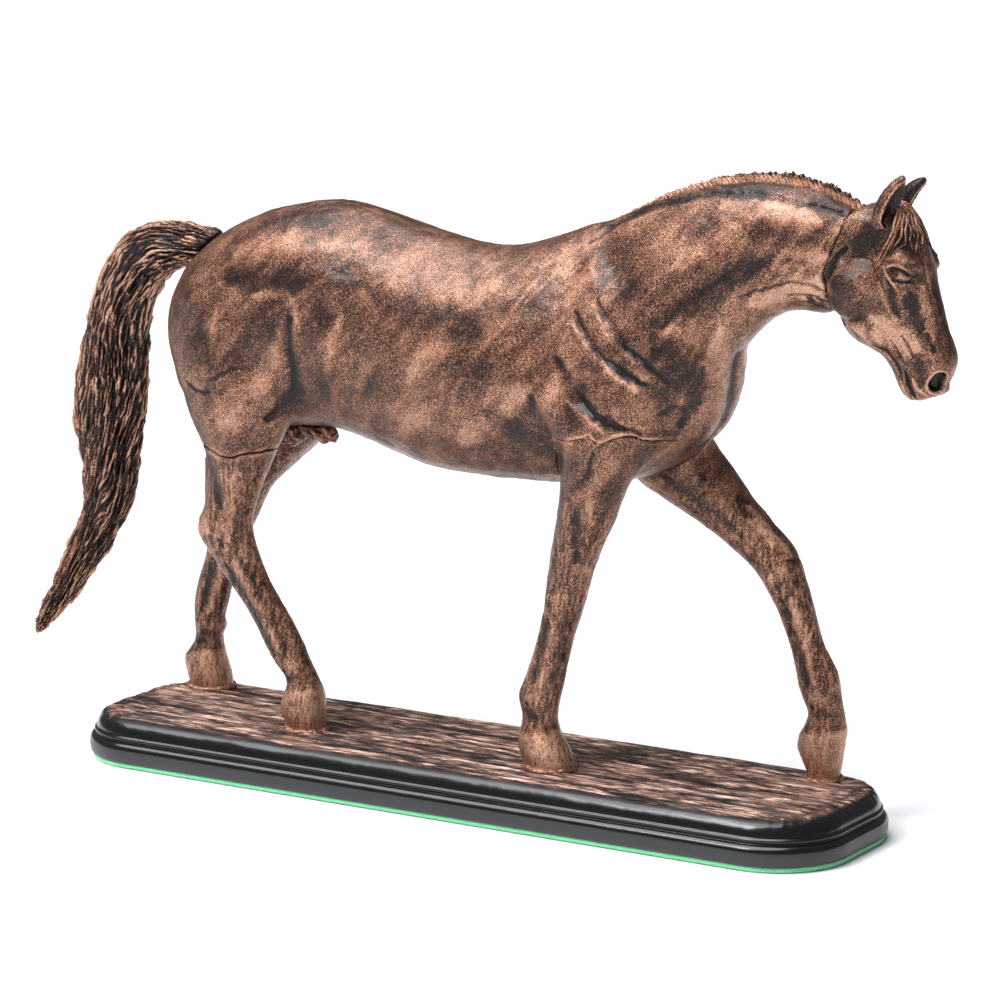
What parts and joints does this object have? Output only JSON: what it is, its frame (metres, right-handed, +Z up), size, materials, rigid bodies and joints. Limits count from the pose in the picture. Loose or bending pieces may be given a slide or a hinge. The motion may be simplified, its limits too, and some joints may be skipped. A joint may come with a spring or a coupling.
{
  "type": "horse statuette",
  "caption": "Statuette of a walking horse with bronze finish, full tail and short upright mane, on an oblong black moulded plinth with a green felt pad.",
  "frame": {"origin": "middle of the underside of the felt pad", "axes": "+X is the way the horse walks and the long way of the plinth, +Y is the horse's left, +Z is up"},
  "size_m": [0.336, 0.069, 0.2015],
  "materials": {
    "bronze_patina": "dark brown bronze patina, rubbed to copper on the high places",
    "bronze_hair": "dark bronze hair, copper on the tops of the strands",
    "copper_filler": "copper-coloured filler round the hooves",
    "plinth_black": "black gloss edge, ribbed top rubbed with copper",
    "green_felt": "bright green felt",
    "steel_rod": "plain steel"
  },
  "bodies": {
    "root": {"felt_pad": "green_felt", "plinth": "plinth_black", "body": "bronze_patina", "head": "bronze_patina", "left_ear": "bronze_patina", "right_ear": "bronze_patina", "forelock": "bronze_hair", "mane": "bronze_hair", "tail": "bronze_hair", "left_fore_leg": "bronze_patina", "right_fore_leg": "bronze_patina", "left_hind_leg": "bronze_patina", "right_hind_leg": "bronze_patina", "sheath": "bronze_patina", "left_fore_rod": "steel_rod", "right_fore_rod": "steel_rod", "left_hind_rod": "steel_rod", "right_hind_rod": "steel_rod", "neck_dowel": "steel_rod", "tail_pin": "steel_rod", "hoof_fillets": "copper_filler"}
  },
  "joints": []
}
